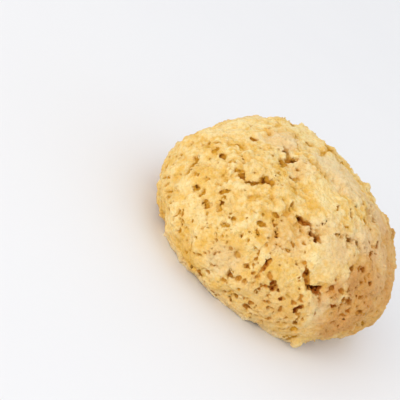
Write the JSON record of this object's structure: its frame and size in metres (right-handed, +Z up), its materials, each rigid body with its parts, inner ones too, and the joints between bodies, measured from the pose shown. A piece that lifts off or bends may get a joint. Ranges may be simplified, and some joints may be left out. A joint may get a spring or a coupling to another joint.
{
  "type": "crackled drop cookie",
  "caption": "Small domed baked cookie with a craggy, pitted golden crust, a tucked-in foot and a flat base to rest on.",
  "frame": {"origin": "middle of the flat base", "axes": "+Z up through the crown, -Y towards the side that the picture shows"},
  "size_m": [0.0463, 0.0465, 0.0239],
  "materials": {
    "crust": "dry, crumbly baked crust: pale cream crags, golden flanks and brown pits"
  },
  "bodies": {
    "root": {"cookie": "crust"}
  },
  "joints": []
}
